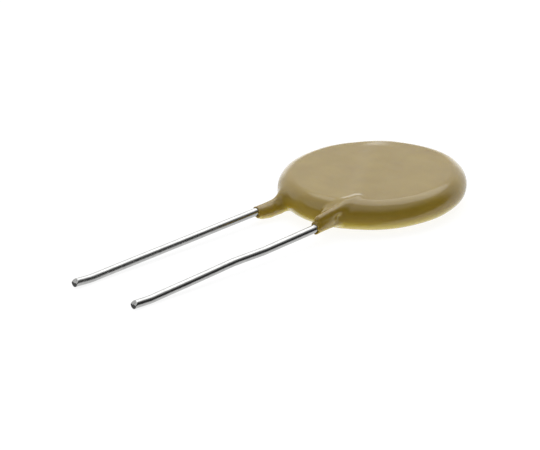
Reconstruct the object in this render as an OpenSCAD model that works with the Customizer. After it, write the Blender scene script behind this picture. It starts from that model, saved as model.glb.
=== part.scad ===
// Disc varistor with two crossed wire leads, lying on its lower face.
// Millimetres, +Z up. The leads run along -Y and their tips touch the surface below, z = 0.
// The origin is the centre of the bounding box's base.

/* [Ceramic and electrodes] */
// Diameter of the ceramic disc
ceramic_d = 20; // [19:0.5:21]
// Thickness of the ceramic disc
ceramic_t = 1.8; // [1.4:0.1:2.4]
// Diameter of the printed electrode on each face
electrode_d = 17.6; // [16:0.2:18.4]
// Thickness of each printed electrode
electrode_t = 0.05; // [0.03:0.01:0.1]

/* [Coating] */
// Coating outside the ceramic's rim
rim_wall = 1.5; // [1.2:0.1:2]
// Coating over each electrode, away from the leads
face_wall = 0.95; // [0.8:0.05:1.2]
// Coating around a lead, at the end of its leg and along its ridge
lead_coat = 0.15; // [0.12:0.01:0.3]
// Coating around a lead where it leaves the disc
shoulder_coat = 0.45; // [0.3:0.05:0.7]
// Softness of the blend between the disc and the coated leads
blend_size = 1.2; // [0.8:0.1:1.6]
// Length of the upper lead's leg beyond the disc's rim
upper_leg = 2.3; // [2:0.1:3.5]
// Length of the lower lead's leg beyond the disc's rim
lower_leg = 2.9; // [2:0.1:3.5]

/* [Leads] */
// Diameter of the lead wire
lead_d = 1; // [0.8:0.1:1.1]
// Distance between the two leads where they leave the coating
lead_pitch = 10; // [9:0.5:11]
// Bare length of the upper lead
upper_bare = 27.6; // [20:0.1:32]
// Bare length of the lower lead
lower_bare = 27.9; // [20:0.1:32]
// Length of the bent end of each lead
tip_length = 2.4; // [1.5:0.1:3]
// Angle by which each lead's end bends up from the rest of the lead
tip_angle = 6; // [2:0.5:7]
// Height of the upper lead below the disc's middle plane where it leaves its leg
upper_drop = 0.35; // [0.1:0.05:0.6]
// Height of the lower lead below the disc's middle plane where it leaves its leg
lower_drop = 0.83; // [0.5:0.01:1]
// Bare length of the upper lead before its flat stretch
kink_start = 8; // [6:0.5:9]
// Length of the upper lead's flat stretch
kink_length = 4.8; // [3:0.2:6]
// Height of that stretch below the disc's middle plane
kink_drop = 0.85; // [0.7:0.05:1]
// Shift of the upper lead's tip towards the lower lead
tip_drift = 0.2; // [0:0.05:0.3]

/* [Crossing on the faces] */
// Distance from the disc's centre line to the turn where a lead starts to cross its face
turn_y = 8; // [7.6:0.1:8.2]
// Straight length past that turn, before the lead bends to its leg
turn_length = 1.2; // [1.1:0.1:1.4]
// Side distance of a lead's inner end from the centre
cross_x = 5.2; // [4:0.1:5.6]
// Forward distance of a lead's inner end from the centre
cross_y = 5.3; // [4:0.1:5.6]
// Gap under a lead that the solder fills
solder_gap = 0.05; // [0.03:0.01:0.1]
// Width of a solder joint
solder_w = 1.9; // [1.5:0.1:2.4]
// Height of a solder joint above its electrode
solder_h = 0.5; // [0.3:0.05:0.6]
// Length of a lead's inner end that the solder leaves bare
solder_end = 1.2; // [0.5:0.1:2]

/* [Hidden] */
$fn = 48;
// Bend radius of a wire's centre line: tight at the disc, wide in the bare length
tight_bend = 1.6;
wide_bend = 8;
// Distance inside a leg's end at which its wire bends
exit_inset = 0.6;
// How far a bend runs into the straight wire beside it, and how much thinner it is
bend_lap = 0.1;
bend_slack = 0.01;
// Share of a solder joint's width that each of its corners loses
solder_corner = 0.3;
UP = [0, 0, 1];

ceramic_r = ceramic_d / 2;
disc_r = ceramic_r + rim_wall;
half_t = ceramic_t / 2 + electrode_t + face_wall;
lead_r = lead_d / 2;
leg_r = lead_r + lead_coat;
shoulder_r = lead_r + shoulder_coat;
leg_x = lead_pitch / 2;
electrode_z = ceramic_t / 2 + electrode_t;
wire_z = electrode_z + solder_gap + lead_r;

// Highest level of a ridge, which is also the height of the middle plane above the surface below
crest_z = wire_z + leg_r;
mid_z = max(half_t, crest_z) + blend_lift(half_t - crest_z);

upper_end = disc_r + upper_leg;
lower_end = disc_r + lower_leg;
upper_reach = upper_end + upper_bare;
lower_reach = lower_end + lower_bare;
floor_drop = mid_z - lead_r;
disc_y = (max(upper_reach, lower_reach) - disc_r) / 2;

// Centre lines of the wires, from the inner end to the tip, about the disc's centre
UPPER_ROUTE = with_tip([
    [-cross_x, cross_y, wire_z],
    [leg_x, -turn_y, wire_z],
    [leg_x, -turn_y - turn_length, wire_z],
    [leg_x, -upper_end + exit_inset, -upper_drop],
    [leg_x, -upper_end - kink_start, -kink_drop],
    [leg_x, -upper_end - kink_start - kink_length, -kink_drop],
    [leg_x - tip_drift, -upper_reach + tip_length, -floor_drop],
]);
LOWER_ROUTE = with_tip([
    [cross_x, cross_y, -wire_z],
    [-leg_x, -turn_y, -wire_z],
    [-leg_x, -turn_y - turn_length, -wire_z],
    [-leg_x, -lower_end + exit_inset, -lower_drop],
    [-leg_x, -lower_reach + tip_length, -floor_drop],
]);
UPPER_BENDS = [tight_bend, tight_bend, tight_bend, wide_bend, wide_bend, wide_bend];
LOWER_BENDS = [tight_bend, tight_bend, tight_bend, wide_bend];

// ---- vectors ----
function unit(v) = v / norm(v);
function mix(a, b, t) = a + (b - a) * t;
function clamp01(t) = min(max(t, 0), 1);
function angle_between(a, b) = atan2(norm(cross(a, b)), a * b);
function along_y(a, b, y) = mix(a, b, (y - a.y) / (b.y - a.y));

// ---- wires ----
// Adds the tip to a route that ends where the tip bends up
function with_tip(route) =
    let (
        last = len(route) - 1,
        dir = unit(route[last] - route[last - 1]),
        rise = unit(UP - dir * (UP * dir))
    )
    concat(route, [route[last] + (dir * cos(tip_angle) + rise * sin(tip_angle)) * tip_length]);

// Length that a bend of radius r between directions a and b takes from each straight
function bend_trim(a, b, r) = r * tan(angle_between(a, b) / 2);
function trim_at(route, bends, i) =
    i == 0 || i == len(route) - 1 ? 0
    : bend_trim(route[i] - route[i - 1], route[i + 1] - route[i], bends[i - 1]);

// Places its child with X along x, and Z along z, which is square to x
module aligned(at, x, z) {
    y = cross(z, x);
    multmatrix([
        [x.x, y.x, z.x, at.x],
        [x.y, y.y, z.y, at.y],
        [x.z, y.z, z.z, at.z],
        [0, 0, 0, 1],
    ]) children();
}

// Straight piece i of a wire, between its bends
module wire_straight(route, bends, r, i) {
    dir = unit(route[i + 1] - route[i]);
    from = route[i] + dir * trim_at(route, bends, i);
    to = route[i + 1] - dir * trim_at(route, bends, i + 1);
    side = unit(cross(abs(dir.z) < 0.9 ? UP : [1, 0, 0], dir));
    aligned(from, side, dir) cylinder(r = r, h = norm(to - from));
}

// Bend at point i: a hair thinner than the straights, and it runs a little way into both
module wire_bend(route, bends, r, i) {
    a = unit(route[i] - route[i - 1]);
    b = unit(route[i + 1] - route[i]);
    bend = bends[i - 1];
    axis = unit(cross(a, b));
    out = cross(a, axis);
    lap_angle = bend_lap / bend * 180 / PI;
    aligned(route[i] - a * trim_at(route, bends, i) - out * bend, out, axis)
        rotate([0, 0, -lap_angle])
            rotate_extrude(angle = angle_between(a, b) + 2 * lap_angle)
                translate([bend, 0]) circle(r - bend_slack);
}

module wire(route, bends, r) {
    last = len(route) - 1;
    for (i = [0:last - 1]) wire_straight(route, bends, r, i);
    for (i = [1:last - 1]) wire_bend(route, bends, r, i);
}

// ---- coating's outer skin ----
// The skin is where skin_d is zero: a disc with a round rim, blended with the coated leads.
function blend_lift(difference) = pow(max(blend_size - abs(difference), 0), 2) / (4 * blend_size);
function blend(a, b) = min(a, b) - blend_lift(a - b);
function disc_d(p) = norm([max(norm([p.x, p.y]) - (disc_r - half_t), 0), p.z]) - half_t;
function capsule_d(p, a, b) =
    let (
        ab = [for (k = [0:2]) b[k] - a[k]],
        ap = [for (k = [0:2]) p[k] - a[k]],
        t = clamp01(ap * ab / (ab * ab))
    )
    norm(ap - ab * t) - mix(a[3], b[3], t);
function coated_wire_d(p, spine) =
    min([for (i = [0:len(spine) - 2]) capsule_d(p, spine[i], spine[i + 1])]);
function skin_d(p) = blend(blend(disc_d(p), coated_wire_d(p, UPPER_SPINE)), coated_wire_d(p, LOWER_SPINE));

// A coated lead's spine: points with the coating's radius as the fourth value
function leg_end(route) = route[3] + unit(route[4] - route[3]) * exit_inset;
function spine(route) = [
    concat(leg_end(route), leg_r),
    concat(route[3], leg_r),
    concat(along_y(route[3], route[2], -disc_r), shoulder_r),
    concat(route[2], leg_r),
    concat(route[1], leg_r),
    concat(route[0], leg_r),
];
UPPER_SPINE = spine(UPPER_ROUTE);
LOWER_SPINE = spine(LOWER_ROUTE);

// Distance from inside point o along direction d to the skin
march_steps = 12;
function skin_reach(o, d, t = 0, n = march_steps) =
    n == 0 ? t : skin_reach(o, d, t - skin_d(o + d * t), n - 1);
function skin_point(o, d) = o + d * skin_reach(o, d);

// Sampling of the skin: a grid of angles round the disc and rows from the upper face's centre,
// over the rim, to the lower face's centre. Each leg is a tube of rings that grows from a
// rectangle left out of the grid.
rim_cells = 80;
front_cells = 8;
root_cells = 6;
fan_cells = 12;
face_cells = 8;
tube_rings = 7;
root_crowding = 1.6;
// Rim rows that a leg's root takes, counted from its own face
root_rows = 7;

inner_r = disc_r - half_t;
leg_angle = asin(leg_x / disc_r);
root_angle = (shoulder_r + blend_size / 2) / disc_r * 180 / PI;
near_angle = leg_angle - root_angle;
far_angle = leg_angle + root_angle;
function steps(from, to, count) = [for (i = [0:count - 1]) mix(from, to, i / count)];
ANGLES = concat(
    steps(near_angle, far_angle, root_cells),
    steps(far_angle, 360 - far_angle, rim_cells),
    steps(-far_angle, -near_angle, root_cells),
    steps(-near_angle, near_angle, front_cells)
);

// Rows: a share of the inner radius, and the angle of the ray above the middle plane
ROWS = concat(
    [for (i = [1:face_cells - 1]) [i / face_cells, 90]],
    [for (i = [0:fan_cells]) [1, 90 - 180 * i / fan_cells]],
    [for (i = [face_cells - 1:-1:1]) [i / face_cells, -90]]
);
first_rim_row = face_cells - 1;

// Outer skin of the coating as one closed shell
module skin() {
    columns = len(ANGLES);
    rows = len(ROWS);
    grid = [for (angle = ANGLES, row = ROWS)
        let (out = [sin(angle), -cos(angle), 0])
        skin_point(out * inner_r * row[0], out * cos(row[1]) + UP * sin(row[1]))];
    function grid_index(i, row) = (i % columns) * rows + row;

    // Each leg: its route, first column, and first and last row
    lower_root = first_rim_row + fan_cells - root_rows;
    legs = [
        [UPPER_ROUTE, 0, first_rim_row, first_rim_row + root_rows],
        [LOWER_ROUTE, root_cells + rim_cells, lower_root, lower_root + root_rows],
    ];
    function root_loop(leg) =
        let (i0 = leg[1], i1 = i0 + root_cells, r0 = leg[2], r1 = leg[3])
        concat(
            [for (i = [i0:i1 - 1]) grid_index(i, r0)],
            [for (r = [r0:r1 - 1]) grid_index(i1, r)],
            [for (i = [i1:-1:i0 + 1]) grid_index(i, r1)],
            [for (r = [r1:-1:r0 + 1]) grid_index(i0, r)]
        );
    function in_root(i, row) =
        len([for (leg = legs)
            if (i >= leg[1] && i < leg[1] + root_cells && row >= leg[2] && row < leg[3]) 1]) > 0;
    function leg_axis(route, y) =
        y > route[3].y ? along_y(route[3], route[2], y) : along_y(route[3], route[4], y);
    // Ring of a leg's tube: rays from its centre line, which lean back at the root and are
    // square to the wire at the leg's end
    function tube_ring(leg, share) =
        let (
            route = leg[0],
            root = leg_axis(route, -disc_r * cos(leg_angle)),
            end = leg_end(route),
            base = share == 1 ? end : leg_axis(route, mix(root.y, end.y, share)),
            lead = unit(route[4] - route[3]),
            side = unit(cross(lead, UP)),
            up = cross(side, lead)
        )
        [for (k = root_loop(leg))
            let (
                from_root = grid[k] - root,
                turn = atan2(from_root * up, from_root * side),
                square = side * cos(turn) + up * sin(turn)
            )
            skin_point(base, unit(mix(unit(from_root), square, share)))];
    // The rings lie closer together at the root, where the tube narrows fast
    tubes = [for (leg = legs, ring = [1:tube_rings])
        each tube_ring(leg, pow(ring / tube_rings, root_crowding))];
    loop_size = 2 * (root_cells + root_rows);
    function tube_index(t, ring, k) =
        ring == 0 ? root_loop(legs[t])[k % loop_size]
        : len(grid) + (t * tube_rings + ring - 1) * loop_size + k % loop_size;
    upper_centre = len(grid) + len(tubes);
    lower_centre = upper_centre + 1;

    function quad(a, b, c, d) = [[a, b, c], [a, c, d]];
    grid_faces = [for (i = [0:columns - 1], row = [0:rows - 2]) if (!in_root(i, row))
        each quad(grid_index(i, row), grid_index(i + 1, row),
                  grid_index(i + 1, row + 1), grid_index(i, row + 1))];
    centre_faces = [for (i = [0:columns - 1]) each [
        [upper_centre, grid_index(i + 1, 0), grid_index(i, 0)],
        [lower_centre, grid_index(i, rows - 1), grid_index(i + 1, rows - 1)]]];
    tube_faces = [for (t = [0, 1], ring = [0:tube_rings - 1], k = [0:loop_size - 1])
        each quad(tube_index(t, ring, k), tube_index(t, ring, k + 1),
                  tube_index(t, ring + 1, k + 1), tube_index(t, ring + 1, k))];
    end_faces = [for (t = [0, 1], k = [1:loop_size - 2])
        [for (n = [0, k, k + 1]) tube_index(t, tube_rings, n)]];

    polyhedron(
        points = concat(grid, tubes, [skin_point([0, 0, 0], UP), skin_point([0, 0, 0], -UP)]),
        faces = concat(grid_faces, centre_faces, tube_faces, end_faces)
    );
}

// ---- pieces about the disc's centre ----
module ceramic_body() {
    translate([0, 0, -ceramic_t / 2]) cylinder(d = ceramic_d, h = ceramic_t);
}

module upper_electrode_body() {
    translate([0, 0, ceramic_t / 2]) cylinder(d = electrode_d, h = electrode_t);
}

// Solder along a crossing wire: a flat pad with cut corners, from which the wire is cut
module upper_solder_pad() {
    inner = UPPER_ROUTE[0];
    outer = UPPER_ROUTE[1];
    dir = unit(outer - inner);
    length = norm(outer - inner) - solder_end - trim_at(UPPER_ROUTE, UPPER_BENDS, 1);
    from = inner + dir * solder_end;
    half_w = solder_w / 2;
    cut = solder_w * solder_corner;
    aligned([from.x, from.y, electrode_z], dir, UP)
        linear_extrude(solder_h) polygon([
            [0, half_w - cut], [cut, half_w], [length - cut, half_w], [length, half_w - cut],
            [length, cut - half_w], [length - cut, -half_w], [cut, -half_w], [0, cut - half_w],
        ]);
}

// The lower face is the upper one turned half round the lead direction
module turned() {
    rotate([0, 180, 0]) children();
}

module upper_wire() {
    wire(UPPER_ROUTE, UPPER_BENDS, lead_r);
}

module lower_wire() {
    wire(LOWER_ROUTE, LOWER_BENDS, lead_r);
}

module seated() {
    translate([0, disc_y, mid_z]) children();
}

// ---- sub-parts ----
module coating() {
    color([0.62, 0.56, 0.36]) seated() difference() {
        skin();
        ceramic_body();
        upper_electrode_body();
        turned() upper_electrode_body();
        upper_solder_pad();
        turned() upper_solder_pad();
        upper_wire();
        lower_wire();
    }
}

module ceramic_disc() {
    color([0.32, 0.33, 0.34]) seated() ceramic_body();
}

module upper_electrode() {
    color([0.78, 0.78, 0.76]) seated() upper_electrode_body();
}

module lower_electrode() {
    color([0.78, 0.78, 0.76]) seated() turned() upper_electrode_body();
}

module upper_solder() {
    color([0.62, 0.63, 0.65]) seated() difference() {
        upper_solder_pad();
        wire_straight(UPPER_ROUTE, UPPER_BENDS, lead_r, 0);
    }
}

module lower_solder() {
    color([0.62, 0.63, 0.65]) seated() difference() {
        turned() upper_solder_pad();
        wire_straight(LOWER_ROUTE, LOWER_BENDS, lead_r, 0);
    }
}

module upper_lead() {
    color([0.75, 0.76, 0.78]) seated() upper_wire();
}

module lower_lead() {
    color([0.75, 0.76, 0.78]) seated() lower_wire();
}

coating();
ceramic_disc();
upper_electrode();
lower_electrode();
upper_solder();
lower_solder();
upper_lead();
lower_lead();
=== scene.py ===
import math

import bpy
import numpy as np
from mathutils import Matrix, Vector


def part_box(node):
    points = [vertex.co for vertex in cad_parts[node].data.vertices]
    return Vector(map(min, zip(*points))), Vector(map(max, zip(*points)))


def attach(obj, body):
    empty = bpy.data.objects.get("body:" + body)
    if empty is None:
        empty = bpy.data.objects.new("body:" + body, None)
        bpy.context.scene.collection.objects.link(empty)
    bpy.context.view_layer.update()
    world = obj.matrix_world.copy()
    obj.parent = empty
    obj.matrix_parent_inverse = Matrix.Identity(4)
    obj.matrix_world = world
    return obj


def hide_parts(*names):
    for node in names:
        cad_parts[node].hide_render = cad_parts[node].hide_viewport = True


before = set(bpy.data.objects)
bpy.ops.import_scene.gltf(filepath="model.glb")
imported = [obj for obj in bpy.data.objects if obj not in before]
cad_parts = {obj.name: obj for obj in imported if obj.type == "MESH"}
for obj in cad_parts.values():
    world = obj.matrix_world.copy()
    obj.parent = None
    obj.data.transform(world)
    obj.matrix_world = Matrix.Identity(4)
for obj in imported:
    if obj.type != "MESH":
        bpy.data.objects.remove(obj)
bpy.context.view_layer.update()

# Shapes are worked out in millimetres about the disc's centre, and moved into the row frame in metres.
MM = 0.001


def corners(node):
    """Lowest and highest corner of a CAD node, in millimetres."""
    low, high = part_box(node)
    return np.array(low) / MM, np.array(high) / MM


# ---------------------------------------------------------------- sizes of the coating
ceramic_low, ceramic_high = corners("ceramic_disc")
centre = (ceramic_low + ceramic_high) / 2
RIM_WALL, FACE_WALL = 1.5, 0.95
disc_r = (ceramic_high[0] - ceramic_low[0]) / 2 + RIM_WALL
electrode_z = corners("upper_electrode")[1][2] - centre[2]
half_t = electrode_z + FACE_WALL
# Radii of the wire, of its thin coating, and of the round edge at a web's inner corner
LEAD_R, LEG_R, WEB_R = 0.5, 0.62, 0.42
# A web's inner corner: its distance in from the rim, and its height below the middle
WEB_INSET, UPPER_WEB_DROP, LOWER_WEB_DROP = 1.2, 0.5, 0.2
# Softness of a ridge's blend with its face, and the height of each ridge
RIDGE_BLEND, UPPER_RIDGE, LOWER_RIDGE = 2.4, 0.17, 0.44
# Points of a leg's crest: shares of the way and of the height of its top, from the bend at the leg's
# end to the lead's next bend, and the extra radius there. A wider crest leans towards the disc's
# middle and a slimmer one away from it, by CREST_LEAN times the extra radius.
UPPER_CREST = [(0.15, 0.61, -0.12), (0.45, 0.78, -0.22), (0.77, 0.89, -0.22), (1.04, 1.01, -0.22)]
LOWER_CREST = [(0.18, 0.69, 0.18), (0.39, 0.88, 0.24), (0.65, 0.76, 0.14)]
CREST_LEAN = 0.8
# Softness of the blends: of each leg with the disc, of the forms on a leg's top, and of its web
UPPER_BLEND, LOWER_BLEND, COVER_BLEND, WEB_BLEND = 0.7, 1.4, 0.3, 0.5
# Depth of each crest under its ridge's top, at the lead's turn
UPPER_SINK, LOWER_SINK = 0.19, LOWER_BLEND
# Shoulder beside the upper leg's crest: side distance, distance in from the rim, drop from the
# crest, and radius of its edge
SHOULDER_X, SHOULDER_IN, SHOULDER_DROP, SHOULDER_R = 3.8, 0.6, 0.28, 0.36
# Cut end of a leg: how far its edge is rounded, how far it wanders, and over what length
CUT_ROUND, CUT_WANDER, CUT_LENGTH = 0.12, 0.035, 0.7
# Unevenness of the coating, as height and length of its broad and fine waves. The broad ones fade
# out from CALM_BELOW under a face's level to CALM_OVER over it.
BROAD_HEIGHT, BROAD_LENGTH, FINE_HEIGHT, FINE_LENGTH = 0.02, 6.0, 0.002, 1.6
CALM_BELOW, CALM_OVER = 0.15, 0.05

# ---------------------------------------------------------------- sizes of the leads
SOLDER_GAP = 0.05
wire_z = electrode_z + SOLDER_GAP + LEAD_R
floor_drop = centre[2] - LEAD_R

# Side distance of a leg, and the place of the turn where its lead starts to cross a face. TURN_RUN is
# the way from there to the next bend, where the upper lead lies UPPER_DIVE lower.
LEG_X, TURN_X, TURN_Y, TURN_RUN, UPPER_DIVE = 5.0, 5.6, 7.3, 1.9, 0.45
# Place of a lead's inner end
CROSS_X, CROSS_Y = 5.2, 5.6
# Lengths of the legs past the disc's rim, and of the bare leads
UPPER_LEG, LOWER_LEG = 2.3, 2.9
UPPER_BARE, LOWER_BARE = 27.6, 27.9
# Height of each lead below the disc's middle where it leaves its leg, and how far out it bends there
UPPER_DROP, LOWER_DROP, EXIT_GAP = 0.35, 0.83, 0.1
# Flat stretch of the upper lead
KINK_START, KINK_LENGTH, KINK_DROP = 8.0, 4.8, 0.85
# Bent end of a lead, and the upper one's shift towards the lower one
TIP_LENGTH, TIP_ANGLE, TIP_DRIFT = 2.4, math.radians(6), 0.2
TIGHT_BEND, WIDE_BEND = 1.6, 8.0
# How far a bare lead wanders sideways, over what length, and the distances past the rim between
# which that sets in; and how far its radius varies, as a share, and over what length
LEAD_WANDER, WANDER_LENGTH, WANDER_START, WANDER_FULL = 0.02, 14.0, 4.0, 8.0
RADIUS_VARIES, VARIES_LENGTH = 0.004, 3.0

upper_end = disc_r + UPPER_LEG
lower_end = disc_r + LOWER_LEG
upper_reach = upper_end + UPPER_BARE
lower_reach = lower_end + LOWER_BARE


def unit(v):
    return v / np.linalg.norm(v, axis=-1, keepdims=True)


def with_tip(points):
    """The route with its bent end added."""
    points = [np.array(p, float) for p in points]
    along = unit(points[-1] - points[-2])
    rise = unit(np.array([0, 0, 1.0]) - along * along[2])
    tip = points[-1] + (along * math.cos(TIP_ANGLE) + rise * math.sin(TIP_ANGLE)) * TIP_LENGTH
    return np.array(points + [tip])


UPPER_ROUTE = with_tip([
    (-CROSS_X, CROSS_Y, wire_z),
    (TURN_X, -TURN_Y, wire_z),
    (LEG_X, -TURN_Y - TURN_RUN, wire_z - UPPER_DIVE),
    (LEG_X, -upper_end - EXIT_GAP, -UPPER_DROP),
    (LEG_X, -upper_end - KINK_START, -KINK_DROP),
    (LEG_X, -upper_end - KINK_START - KINK_LENGTH, -KINK_DROP),
    (LEG_X - TIP_DRIFT, -upper_reach + TIP_LENGTH, -floor_drop),
])
LOWER_ROUTE = with_tip([
    (CROSS_X, CROSS_Y, -wire_z),
    (-TURN_X, -TURN_Y, -wire_z),
    (-LEG_X, -TURN_Y - TURN_RUN, -wire_z),
    (-LEG_X, -lower_end - EXIT_GAP, -LOWER_DROP),
    (-LEG_X, -lower_reach + TIP_LENGTH, -floor_drop),
])
UPPER_BENDS = [TIGHT_BEND] * 3 + [WIDE_BEND] * 3
LOWER_BENDS = [TIGHT_BEND] * 3 + [WIDE_BEND]


# ---------------------------------------------------------------- smooth unevenness
def waves(points, length, seed, count=24):
    """Smooth random field of about unit size whose bumps are about length apart."""
    rng = np.random.default_rng(seed)
    ways = unit(rng.normal(size=(count, 3))) * (2 * math.pi / length)
    ways *= rng.uniform(0.7, 1.4, size=(count, 1))
    return np.cos(points @ ways.T + rng.uniform(0, 2 * math.pi, count)).sum(axis=1) * math.sqrt(2 / count)


def smooth_min(a, b, size):
    return np.minimum(a, b) - np.maximum(size - np.abs(a - b), 0) ** 2 / (4 * size)


def smooth_step(x, low, high):
    t = np.clip((x - low) / (high - low), 0, 1)
    return t * t * (3 - 2 * t)


# ---------------------------------------------------------------- coating's form
def disc_form(p):
    """Distance from the disc with its round rim."""
    rim = np.maximum(np.hypot(p[:, 0], p[:, 1]) - (disc_r - half_t), 0)
    return np.hypot(rim, p[:, 2]) - half_t


def rod_form(p, a, b):
    """Distance from a rod between two points; each point's fourth value is its radius."""
    along = b[:3] - a[:3]
    t = np.clip((p - a[:3]) @ along / (along @ along), 0, 1)
    return np.linalg.norm(p - a[:3] - t[:, None] * along, axis=1) - (a[3] + (b[3] - a[3]) * t)


def crest(route, shares, rise, sink):
    """Points of a leg's crest, from near its end to the lead's turn, where it sinks under the ridge."""
    step = route[2] - route[3]
    side = math.copysign(1, route[1][2])
    points = []
    for way, height, extra in shares:
        shift = (-side * extra * CREST_LEAN, 0, -side * extra)
        points.append((*(route[3] + step * (0, way, height) + shift), LEG_R + extra))
    radius = LEG_R + min(shares[-1][2], 0)
    level = side * (half_t + rise - sink - radius)
    return np.array(points + [(route[1][0] - side * (LEG_R - radius), route[1][1], level, radius)])


def cover(route):
    """Points of the thin coating round a lead, from past its leg's end to inside the leg."""
    out = unit(route[4] - route[3])
    points = [route[3] + out * LEG_R, route[3], (route[3] + route[2]) / 2]
    return np.array([(*point, LEG_R) for point in points])


def ridge(route, height):
    """Sunk rod over which the coating rises by height where the lead crosses a face."""
    top = half_t - RIDGE_BLEND + 2 * math.sqrt(RIDGE_BLEND * height)
    level = math.copysign(top - LEG_R, route[0][2])
    return [np.append(point[:2], (level, LEG_R)) for point in route[:2]]


def ridge_form(p, rod, side):
    """Distance from a sunk rod, which loses hold of the other face."""
    return rod_form(p, *rod) + np.maximum(-side * p[:, 2], 0) ** 2 / 2


def web(points, route, drop):
    """Corners of the upright web of coating that joins a leg to the rim, as (y, z, radius)."""
    return np.array([(*route[3][1:], LEG_R), points[-2][1:], (-disc_r + WEB_INSET, -drop, WEB_R)])


UPPER_SPINE = crest(UPPER_ROUTE, UPPER_CREST, UPPER_RIDGE, UPPER_SINK)
LOWER_SPINE = crest(LOWER_ROUTE, LOWER_CREST, LOWER_RIDGE, LOWER_SINK)
UPPER_COVER, LOWER_COVER = cover(UPPER_ROUTE), cover(LOWER_ROUTE)
UPPER_SHOULDER = [UPPER_SPINE[0][:3], UPPER_SPINE[-1][:3],
                  np.array([SHOULDER_X, -disc_r + SHOULDER_IN, UPPER_SPINE[2][2] - SHOULDER_DROP])]
UPPER_LINE, LOWER_LINE = ridge(UPPER_ROUTE, UPPER_RIDGE), ridge(LOWER_ROUTE, LOWER_RIDGE)
UPPER_WEB = web(UPPER_SPINE, UPPER_ROUTE, UPPER_WEB_DROP)
LOWER_WEB = web(LOWER_SPINE, LOWER_ROUTE, LOWER_WEB_DROP)


def chain_form(p, points):
    """Distance from a chain of rods."""
    return np.min([rod_form(p, a, b) for a, b in zip(points, points[1:])], axis=0)


def web_form(p, x, corners):
    """Distance from a triangular plate in the plane of one x, with round edges. Its thickness runs
    evenly from corner to corner."""
    q = p[:, 1:]
    edge, turn = [], []
    for a, b in zip(corners[:, :2], np.roll(corners[:, :2], -1, axis=0)):
        along = b - a
        t = np.clip((q - a) @ along / (along @ along), 0, 1)
        edge.append(np.linalg.norm(q - a - t[:, None] * along, axis=1))
        turn.append(along[0] * (q[:, 1] - a[1]) - along[1] * (q[:, 0] - a[0]))
    turn = np.array(turn)
    inside = (turn > 0).all(axis=0) | (turn < 0).all(axis=0)
    spread = np.linalg.solve(np.column_stack([corners[:, :2], np.ones(3)]), corners[:, 2])
    radius = np.clip(q @ spread[:2] + spread[2], corners[:, 2].min(), corners[:, 2].max())
    return np.hypot(p[:, 0] - x, np.where(inside, 0, np.min(edge, axis=0))) - radius


def triangle_form(p, corners, radius):
    """Distance from a flat triangle with round edges."""
    a, b, c = corners
    normal = unit(np.cross(b - a, c - a))
    sides = [(a, b), (b, c), (c, a)]
    inside = np.all([(p - s) @ np.cross(normal, e - s) > 0 for s, e in sides], axis=0)
    edge = np.min([rod_form(p, np.append(s, 0), np.append(e, 0)) for s, e in sides], axis=0)
    return np.where(inside, np.abs((p - a) @ normal), edge) - radius


def leg_form(p, spine, thin, x, corners):
    """Distance from a leg: its crest, the thin coating round its lead, and its web."""
    d = smooth_min(chain_form(p, spine), chain_form(p, thin), COVER_BLEND)
    return smooth_min(d, web_form(p, x, corners), WEB_BLEND)


def ragged_end(p, y_end, seed):
    """Signed distance past a leg's end, which is cut a little unevenly."""
    flattened = p * [1, 0.2, 1]
    return -(p[:, 1] + y_end) + CUT_WANDER * waves(flattened, CUT_LENGTH, seed)


def skin_form(p):
    """Signed distance from the coating's skin, which is where it is zero."""
    d = smooth_min(disc_form(p), ridge_form(p, UPPER_LINE, 1), RIDGE_BLEND)
    d = smooth_min(d, ridge_form(p, LOWER_LINE, -1), RIDGE_BLEND)
    upper = smooth_min(leg_form(p, UPPER_SPINE, UPPER_COVER, LEG_X, UPPER_WEB),
                       triangle_form(p, UPPER_SHOULDER, SHOULDER_R), COVER_BLEND)
    d = smooth_min(d, upper, UPPER_BLEND)
    d = smooth_min(d, leg_form(p, LOWER_SPINE, LOWER_COVER, -LEG_X, LOWER_WEB), LOWER_BLEND)
    cut = np.where(p[:, 0] > 0, ragged_end(p, upper_end, seed=5), ragged_end(p, lower_end, seed=6))
    d = -smooth_min(-d, -cut, CUT_ROUND)
    fade = smooth_step(np.abs(p[:, 2]), half_t + CALM_OVER, half_t - CALM_BELOW)
    broad = BROAD_HEIGHT * waves(p, BROAD_LENGTH, seed=1) * fade
    return d + (broad + FINE_HEIGHT * waves(p, FINE_LENGTH, seed=2))


# ---------------------------------------------------------------- meshes
# The form is worked out over a grid in this many shares, which saves memory
GRID_SHARES = 24


def grid_lines(spans):
    """Grid lines from spans of (start, end, step)."""
    parts = [np.linspace(a, b, max(int(round((b - a) / step)), 1), endpoint=False)
             for a, b, step in spans]
    return np.append(np.concatenate(parts), spans[-1][1])


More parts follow.
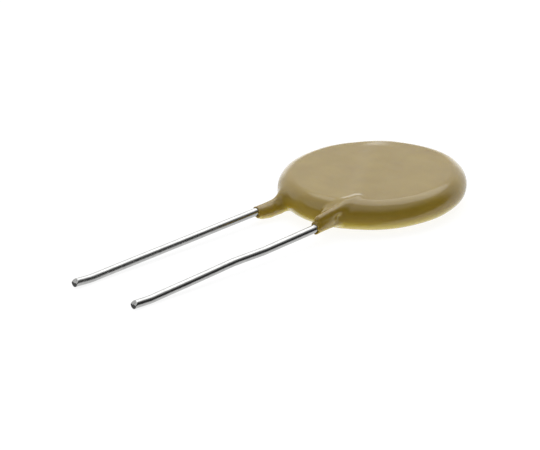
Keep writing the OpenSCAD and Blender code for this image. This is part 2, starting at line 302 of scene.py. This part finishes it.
def surface_net(form, xs, ys, zs):
    """Quads over the surface where form is zero, one vertex in each grid cell that it crosses."""
    shape = (len(xs), len(ys), len(zs))
    nodes = np.stack(np.meshgrid(xs, ys, zs, indexing="ij"), axis=-1).reshape(-1, 3)
    value = np.concatenate([form(part) for part in np.array_split(nodes, GRID_SHARES)]).reshape(shape)
    inside = value < 0
    cells = np.zeros(tuple(n - 1 for n in shape), int)
    for i in (0, 1):
        for j in (0, 1):
            for k in (0, 1):
                cells += inside[i:shape[0] - 1 + i, j:shape[1] - 1 + j, k:shape[2] - 1 + k]
    active = (cells > 0) & (cells < 8)
    index = np.full(active.shape, -1)
    index[active] = np.arange(active.sum())
    ci, cj, ck = np.nonzero(active)
    total = np.zeros((len(ci), 3))
    count = np.zeros(len(ci))
    lines = (xs, ys, zs)
    for axis in range(3):
        others = [a for a in range(3) if a != axis]
        for da in (0, 1):
            for db in (0, 1):
                start = [ci.copy(), cj.copy(), ck.copy()]
                start[others[0]] += da
                start[others[1]] += db
                end = [s.copy() for s in start]
                end[axis] += 1
                va, vb = value[tuple(start)], value[tuple(end)]
                crossed = (va < 0) != (vb < 0)
                t = np.where(crossed, va / np.where(crossed, va - vb, 1), 0)
                for a in range(3):
                    pa, pb = lines[a][start[a]], lines[a][end[a]]
                    total[:, a] += np.where(crossed, pa + (pb - pa) * t, 0)
                count += crossed
    points = total / count[:, None]

    quads = []
    for axis in range(3):
        others = [a for a in range(3) if a != axis]
        low = [slice(None)] * 3
        high = [slice(None)] * 3
        low[axis], high[axis] = slice(None, -1), slice(1, None)
        crossing = inside[tuple(low)] != inside[tuple(high)]
        for a in others:
            edge = [slice(None)] * 3
            edge[a] = 0
            crossing[tuple(edge)] = False
            edge[a] = -1
            crossing[tuple(edge)] = False
        where = np.nonzero(crossing)
        leaves = inside[tuple(low)][where]
        ring = []
        for da, db in ((1, 1), (0, 1), (0, 0), (1, 0)):
            cell = [w.copy() for w in where]
            cell[others[0]] -= da
            cell[others[1]] -= db
            ring.append(index[tuple(cell)])
        ring = np.stack(ring, axis=1)
        flip = leaves if axis != 1 else ~leaves
        ring[~flip] = ring[~flip][:, ::-1]
        quads.append(ring)
    return points, np.concatenate(quads)


def slope(form, p, h=0.004):
    """Gradient of a form, from steps of h to both sides."""
    steps = np.eye(3) * h
    return np.stack([form(p + s) - form(p - s) for s in steps], axis=1) / (2 * h)


def settle(form, p, rounds=3):
    """Moves points onto the surface where form is zero. Returns them with their normals."""
    for _ in range(rounds):
        g = slope(form, p)
        p = p - g * (form(p) / (g * g).sum(axis=1))[:, None]
    return p, unit(slope(form, p))


def make_piece(name, points, faces, normals=None):
    """Mesh piece from points in millimetres about the disc's centre; it rides on the one body."""
    mesh = bpy.data.meshes.new(name)
    mesh.from_pydata(((points + centre) * MM).tolist(), [], faces)
    mesh.validate()
    mesh.polygons.foreach_set("use_smooth", [True] * len(mesh.polygons))
    if normals is not None:
        mesh.normals_split_custom_set_from_vertices(normals.tolist())
    piece = bpy.data.objects.new(name, mesh)
    bpy.context.scene.collection.objects.link(piece)
    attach(piece, "root")
    return piece


def coating_piece():
    """The coating's skin, from a grid that is finer about the legs."""
    coarse, fine_x, fine_y, step_z = 0.16, 0.07, 0.05, 0.09
    margin, leg_margin, fine_past_rim = 0.3, 1.1, 0.8
    side, top = disc_r + margin, centre[2] + margin
    leg_in, leg_out = LEG_X - leg_margin, LEG_X + leg_margin
    legs_y = -disc_r - fine_past_rim
    xs = grid_lines([(-side, -leg_out, coarse), (-leg_out, -leg_in, fine_x), (-leg_in, leg_in, coarse),
                     (leg_in, leg_out, fine_x), (leg_out, side, coarse)])
    ys = grid_lines([(-lower_end - margin, legs_y, fine_y), (legs_y, side, coarse)])
    zs = grid_lines([(-top, top, step_z)])
    points, quads = surface_net(skin_form, xs, ys, zs)
    points, normals = settle(skin_form, points)
    return make_piece("coating_skin", points, quads.tolist(), normals)


def centre_line(route, bends, step=0.2, least_parts=6):
    """Points along a route with its corners rounded, each by least_parts lines or more."""
    points = [route[0]]
    for i in range(1, len(route) - 1):
        a, b = unit(route[i] - route[i - 1]), unit(route[i + 1] - route[i])
        angle = math.acos(np.clip(a @ b, -1, 1))
        trim = bends[i - 1] * math.tan(angle / 2)
        inward = unit(b - a * (a @ b))
        start = route[i] - a * trim
        middle = start + inward * bends[i - 1]
        turns = np.linspace(0, angle, max(int(bends[i - 1] * angle / step), least_parts) + 1)
        points += [middle - inward * bends[i - 1] * math.cos(t) + a * bends[i - 1] * math.sin(t)
                   for t in turns]
    points.append(route[-1])
    line = [points[0]]
    for a, b in zip(points, points[1:]):
        parts = max(int(np.linalg.norm(b - a) / step), 1)
        line += [a + (b - a) * k / parts for k in range(1, parts + 1)]
    return np.array(line)


def wire_frames(line):
    """Direction, side and up at each point of a line."""
    along = unit(np.gradient(line, axis=0))
    side = unit(np.cross(along, [0, 0, 1.0]))
    return along, side, np.cross(side, along)


TURN = 40
ANGLES = np.arange(TURN) * 2 * math.pi / TURN
RING = np.cos(ANGLES), np.sin(ANGLES)

# Cropped tip of a lead. Its cut face is a set of rings, each a share of the wire's radius. Above
# LEAN_FROM the cut leans back by LEAN_SLOPE, and the wire follows it over LEAN_REACH.
CUT_RINGS = (0.99, 0.94, 0.8, 0.6, 0.4, 0.2, 0.05)
CUT_DEPTH, LEAN_FROM, LEAN_SLOPE, LEAN_REACH = 0.04, 0.02, 0.75, 0.5
# Drop of the cut's edge, and the share of the radius over which it falls
EDGE_DROP, EDGE_WIDTH = 0.035, 0.06
# Height and length of the cut face's unevenness
BULGE_HEIGHT, BULGE_LENGTH = 0.02, 0.5


def tube_faces(rings):
    k = np.arange(TURN)
    n = (k + 1) % TURN
    return np.concatenate([
        np.stack([r * TURN + k, r * TURN + n, (r + 1) * TURN + n, (r + 1) * TURN + k], axis=1)
        for r in range(rings - 1)])


def cut_lean(height):
    """How far the cut lies back at a height over the wire's centre."""
    return np.maximum(height - LEAN_FROM, 0) * LEAN_SLOPE


def cut_ring(share, seed):
    """Sideways, upward and outward places of one ring of the cut face, about the tip."""
    u, v = (part * share * LEAD_R for part in RING)
    edge = EDGE_DROP * (1 - np.clip((1 - share) / EDGE_WIDTH, 0, 1))
    bulge = BULGE_HEIGHT * waves(np.stack([u, v, u * 0], axis=1), BULGE_LENGTH, seed)
    return u, v, CUT_DEPTH - cut_lean(v) - edge + bulge * (1 - share)


def lead_piece(name, route, bends, seed):
    """Drawn wire with a cropped tip: the cut's upper part leans back, its lower part is square."""
    line = centre_line(route, bends)
    along, side, up = wire_frames(line)
    bare = smooth_step(-line[:, 1], disc_r + WANDER_START, disc_r + WANDER_FULL)[:, None]
    line = line + (side * waves(line, WANDER_LENGTH, seed)[:, None] * LEAD_WANDER) * bare
    rows = []
    for i in range(len(line)):
        r = LEAD_R * (1 + RADIUS_VARIES * waves(line[i:i + 1], VARIES_LENGTH, seed + 1)[0])
        rows.append(line[i] + r * (RING[0][:, None] * side[i] + RING[1][:, None] * up[i]))
    tip, out = line[-1], along[-1]
    for share in CUT_RINGS:
        u, v, depth = cut_ring(share, seed + 2)
        rows.append(tip + u[:, None] * side[-1] + v[:, None] * up[-1] + depth[:, None] * out)
    # The rings just behind the cut follow its lean
    for i in range(len(line) - 1, 0, -1):
        back = np.linalg.norm(line[i] - tip)
        if back > LEAN_REACH:
            break
        lean = cut_lean(RING[1] * LEAD_R) * (1 - back / LEAN_REACH)
        rows[i] = rows[i] - lean[:, None] * out
    inner_end = list(range(TURN))[::-1]
    cut_middle = [(len(rows) - 1) * TURN + k for k in range(TURN)]
    faces = tube_faces(len(rows)).tolist() + [inner_end, cut_middle]
    return make_piece(name, np.concatenate(rows), faces)


# ---------------------------------------------------------------- materials
def add(tree, kind, inputs=None, **settings):
    """Adds a node. inputs maps a socket's name or number to a value or to another node's output."""
    node = tree.nodes.new(kind)
    for key, value in settings.items():
        setattr(node, key, value)
    for key, value in (inputs or {}).items():
        if isinstance(value, bpy.types.NodeSocket):
            tree.links.new(value, node.inputs[key])
        else:
            node.inputs[key].default_value = value
    return node


def new_material(name):
    material = bpy.data.materials.new(name)
    material.use_nodes = True
    material.node_tree.nodes.clear()
    return material, material.node_tree


def in_millimetres(tree, stretch=(1, 1, 1)):
    """The object's own coordinates in millimetres, stretched as a drawn or brushed finish needs."""
    place = add(tree, "ShaderNodeTexCoord").outputs["Object"]
    scale = tuple(share / MM for share in stretch)
    return add(tree, "ShaderNodeVectorMath", {0: place, 1: scale}, operation="MULTIPLY").outputs[0]


def noise(tree, place, scale, detail=2.0, rough=0.5):
    inputs = {"Vector": place, "Scale": scale, "Detail": detail, "Roughness": rough}
    return add(tree, "ShaderNodeTexNoise", inputs).outputs["Fac"]


def to_range(tree, value, low, high, out_low, out_high):
    return add(tree, "ShaderNodeMapRange", {0: value, 1: low, 2: high, 3: out_low, 4: out_high}).outputs[0]


def spread(tree, value, out_low=0.0, out_high=1.0):
    """A noise's middle range, spread from out_low to out_high."""
    return to_range(tree, value, 0.3, 0.7, out_low, out_high)


def mix_colour(tree, share, a, b):
    node = add(tree, "ShaderNodeMix", data_type="RGBA")
    for socket, value in (("Factor_Float", share), ("A_Color", a), ("B_Color", b)):
        target = next(s for s in node.inputs if s.identifier == socket)
        if isinstance(value, bpy.types.NodeSocket):
            tree.links.new(value, target)
        else:
            target.default_value = value
    return next(s for s in node.outputs if s.identifier == "Result_Color")


def bump(tree, height, distance, strength=1.0, under=None):
    inputs = {"Height": height, "Distance": distance, "Strength": strength}
    if under is not None:
        inputs["Normal"] = under
    return add(tree, "ShaderNodeBump", inputs).outputs[0]


def finish_material(tree, **sockets):
    names = {"colour": "Base Color", "metal": "Metallic", "rough": "Roughness", "normal": "Normal",
             "ior": "IOR", "scatter": "Subsurface Weight", "scatter_scale": "Subsurface Scale",
             "scatter_radius": "Subsurface Radius"}
    shader = add(tree, "ShaderNodeBsdfPrincipled", {names[k]: v for k, v in sockets.items()})
    add(tree, "ShaderNodeOutputMaterial", {"Surface": shader.outputs[0]})


def epoxy_material():
    """Dipped epoxy: olive ochre, mottled a little, with fine filler grain and a soft gloss. Faces turned
    downwards get painted bounce light, yellower and lighter, as if lit from a pale floor below."""
    # The third colour is painted bounce light for faces turned downwards
    dark, light, painted_bounce = (0.245, 0.162, 0.017, 1), (0.291, 0.201, 0.026, 1), (0.36, 0.28, 0.03, 1)
    material, tree = new_material("epoxy_dip")
    place = in_millimetres(tree)
    mottle = spread(tree, noise(tree, place, 0.22, 4.0, 0.55))
    colour = mix_colour(tree, mottle, dark, light)
    # Painted bounce light: the colour turns yellower and lighter as the face turns downwards, as if lit
    # from a pale floor below
    normal = add(tree, "ShaderNodeTexCoord").outputs["Normal"]
    level = add(tree, "ShaderNodeSeparateXYZ", {0: normal}).outputs["Z"]
    colour = mix_colour(tree, to_range(tree, level, -0.15, -0.60, 0.0, 1.0), colour, painted_bounce)
    rough = spread(tree, noise(tree, place, 0.8, 3.0, 0.6), 0.12, 0.18)
    skin = bump(tree, noise(tree, place, 1.6, 2.0, 0.45), 0.00002, 0.5)
    skin = bump(tree, noise(tree, place, 12.0, 2.0, 0.5), 0.000004, 0.4, skin)
    finish_material(tree, colour=colour, rough=rough, normal=skin, ior=1.6,
                    scatter=0.35, scatter_scale=0.0006, scatter_radius=(1.0, 0.7, 0.15))
    return material


def tin_material():
    """Tinned copper wire: bright, with faint drawing lines along it."""
    dark, light = (0.40, 0.40, 0.395, 1), (0.50, 0.50, 0.49, 1)
    material, tree = new_material("tinned_wire")
    drawn = in_millimetres(tree, (1, 0.03, 1))
    place = in_millimetres(tree)
    lines = noise(tree, drawn, 7.0, 3.0, 0.6)
    colour = mix_colour(tree, spread(tree, noise(tree, place, 1.1, 3.0, 0.6)), dark, light)
    rough = spread(tree, lines, 0.14, 0.24)
    finish = bump(tree, lines, 0.000012, 0.5)
    finish = bump(tree, noise(tree, place, 2.5, 3.0, 0.6), 0.000015, 0.35, finish)
    finish_material(tree, colour=colour, metal=1.0, rough=rough, normal=finish)
    return material


def inner_material(name, dark, light, scale, metal, rough_low, rough_high):
    """Speckled finish of a part inside the coating."""
    material, tree = new_material(name)
    place = in_millimetres(tree)
    speck = noise(tree, place, scale, 3.0, 0.6)
    colour = mix_colour(tree, spread(tree, speck), dark + (1,), light + (1,))
    rough = spread(tree, noise(tree, place, scale * 0.4, 2.0), rough_low, rough_high)
    finish_material(tree, colour=colour, metal=metal, rough=rough, normal=bump(tree, speck, 0.00001, 0.4))
    return material


# ---------------------------------------------------------------- the part
epoxy = epoxy_material()
tin = tin_material()

skin = coating_piece()
skin.data.materials.append(epoxy)
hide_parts("coating")

upper = lead_piece("upper_lead_wire", UPPER_ROUTE, UPPER_BENDS, 11)
upper.data.materials.append(tin)
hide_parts("upper_lead")
lower = lead_piece("lower_lead_wire", LOWER_ROUTE, LOWER_BENDS, 21)
lower.data.materials.append(tin)
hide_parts("lower_lead")

oxide = inner_material("zinc_oxide", (0.10, 0.105, 0.11), (0.16, 0.165, 0.17), 3.0, 0.0, 0.6, 0.8)
silver = inner_material("silver_print", (0.72, 0.72, 0.70), (0.84, 0.84, 0.82), 2.0, 1.0, 0.35, 0.5)
solder = inner_material("solder", (0.50, 0.51, 0.53), (0.66, 0.67, 0.69), 1.5, 1.0, 0.25, 0.4)
inner = {
    "ceramic_disc": oxide,
    "upper_electrode": silver,
    "lower_electrode": silver,
    "upper_solder": solder,
    "lower_solder": solder,
}
for node, material in inner.items():
    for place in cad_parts[node].material_slots:
        place.material = material


# ---------------------------------------------------------------- floor, light and camera
VIEW_AZIMUTH, VIEW_ELEVATION, VIEW_ROLL = math.radians(47.9), math.radians(21.5), math.radians(1.31)
VIEW_DISTANCE = 0.450
# How far the camera looks past the disc's centre, to the left and down
FRAME_SIDE, FRAME_DROP = 0.01242, 0.00492
LENS, SENSOR = 246.6, 36.0

above = Vector((0, 0, 1))
level_back = Vector((math.sin(VIEW_AZIMUTH), -math.cos(VIEW_AZIMUTH), 0))
back = level_back * math.cos(VIEW_ELEVATION) + above * math.sin(VIEW_ELEVATION)
right = above.cross(back).normalized()
raised = back.cross(right)
disc_centre = Vector(centre * MM)

scene = bpy.context.scene
scene.view_settings.view_transform = "Standard"


def floor_piece():
    """Pale floor that only the camera sees; it keeps the object's shadow and is lit up to white."""
    half = 4.0
    outline = [(-half, -half, 0), (half, -half, 0), (half, half, 0), (-half, half, 0)]
    mesh = bpy.data.meshes.new("floor")
    mesh.from_pydata(outline, [], [(0, 1, 2, 3)])
    floor = bpy.data.objects.new("floor", mesh)
    scene.collection.objects.link(floor)
    material, tree = new_material("pale_floor")
    rays = add(tree, "ShaderNodeLightPath").outputs
    paint = add(tree, "ShaderNodeBsdfDiffuse", {"Color": (0.86, 0.86, 0.86, 1)})
    seen_paint = add(tree, "ShaderNodeBsdfDiffuse", {"Color": (0.16, 0.16, 0.16, 1)})
    seen_light = add(tree, "ShaderNodeEmission", {"Color": (1, 1, 1, 1), "Strength": 0.89})
    seen = add(tree, "ShaderNodeAddShader", {0: seen_paint.outputs[0], 1: seen_light.outputs[0]})
    shaders = {0: rays["Is Camera Ray"], 1: paint.outputs[0], 2: seen.outputs[0]}
    mix = add(tree, "ShaderNodeMixShader", shaders)
    add(tree, "ShaderNodeOutputMaterial", {"Surface": mix.outputs[0]})
    mesh.materials.append(material)
    floor.visible_diffuse = floor.visible_glossy = floor.visible_transmission = floor.visible_shadow = False


def grey(level):
    return (level, level, level, 1)


def studio_world():
    """A pale studio: a soft box above and behind, a fill light over the leads' side, a bright strip far
    behind, and dark zones at the part's level on the camera's side and on the left. Diffuse light from
    below is what a pale floor throws back. The camera sees plain white."""
    world = bpy.data.worlds.new("studio")
    world.use_nodes = True
    scene.world = world
    tree = world.node_tree
    tree.nodes.clear()
    way = add(tree, "ShaderNodeTexCoord").outputs["Generated"]
    rays = add(tree, "ShaderNodeLightPath").outputs

    def facing(direction, low, high, at_low, at_high):
        """Smooth step from at_low to at_high as a ray turns towards a direction."""
        inputs = {0: way, 1: tuple(direction)}
        dot = add(tree, "ShaderNodeVectorMath", inputs, operation="DOT_PRODUCT").outputs["Value"]
        return add(tree, "ShaderNodeMapRange", {0: dot, 1: low, 2: high, 3: at_low, 4: at_high},
                   interpolation_type="SMOOTHSTEP").outputs[0]

    def combined(a, b, operation="MULTIPLY"):
        return add(tree, "ShaderNodeMath", {0: a, 1: b}, operation=operation).outputs[0]

    front = Vector((back.x, back.y, 0)).normalized()
    near = facing(front, -0.45, -0.05, 0.0, 1.0)
    low = facing(above, 0.40, 0.98, 1.0, 0.0)
    over_floor = facing(0.65 * front + above, -0.30, 0.0, 0.0, 1.0)
    level = mix_colour(tree, combined(near, combined(low, over_floor)), grey(1.0), grey(0.04))

    box = facing((0.12 * right - 0.40 * front + 0.90 * above).normalized(), 0.82, 0.92, 0.0, 1.0)
    level = mix_colour(tree, box, level, grey(2.5))

    far = combined(facing(-front, 0.88, 0.96, 0.0, 1.0), facing(above, 0.10, 0.28, 1.0, 0.0))
    strip = combined(far, facing(above, -0.35, -0.10, 0.0, 1.0))
    level = mix_colour(tree, strip, level, grey(1.5))

    fill = facing(Vector((-0.25, -0.70, 0.60)).normalized(), 0.78, 0.95, 0.0, 1.0)
    level = mix_colour(tree, fill, level, grey(1.0))

    left = facing(0.6 * front - 0.8 * right, 0.05, 0.35, 0.0, 1.0)
    level = mix_colour(tree, combined(left, facing(above, 0.0, 0.25, 1.0, 0.0)), level, grey(0.12))

    below = combined(facing(above, -0.05, 0.05, 1.0, 0.0), rays["Is Diffuse Ray"])
    horizon = mix_colour(tree, near, grey(1.0), grey(0.35))
    floor_light = mix_colour(tree, facing(above, -0.8, -0.05, 0.0, 1.0), grey(2.2), horizon)
    level = mix_colour(tree, below, level, floor_light)

    seen = combined(rays["Is Camera Ray"], rays["Is Transmission Ray"], "MAXIMUM")
    level = mix_colour(tree, seen, level, grey(1))
    light = add(tree, "ShaderNodeBackground", {"Color": level, "Strength": 1.0})
    add(tree, "ShaderNodeOutputWorld", {"Surface": light.outputs[0]})


floor_piece()
studio_world()

eye = disc_centre + back * VIEW_DISTANCE
turned = Matrix.Rotation(-VIEW_ROLL, 3, back)
aim = disc_centre - (turned @ right) * FRAME_SIDE - (turned @ raised) * FRAME_DROP
looking = (eye - aim).normalized()
camera_right = (turned @ right - looking * looking.dot(turned @ right)).normalized()
camera_up = looking.cross(camera_right)
lens = bpy.data.cameras.new("camera")
lens.lens, lens.sensor_width = LENS, SENSOR
lens.clip_start, lens.clip_end = 0.01, 20
camera = bpy.data.objects.new("camera", lens)
camera.matrix_world = Matrix((
    (camera_right.x, camera_up.x, looking.x, eye.x),
    (camera_right.y, camera_up.y, looking.y, eye.y),
    (camera_right.z, camera_up.z, looking.z, eye.z),
    (0, 0, 0, 1),
))
scene.collection.objects.link(camera)
scene.camera = camera
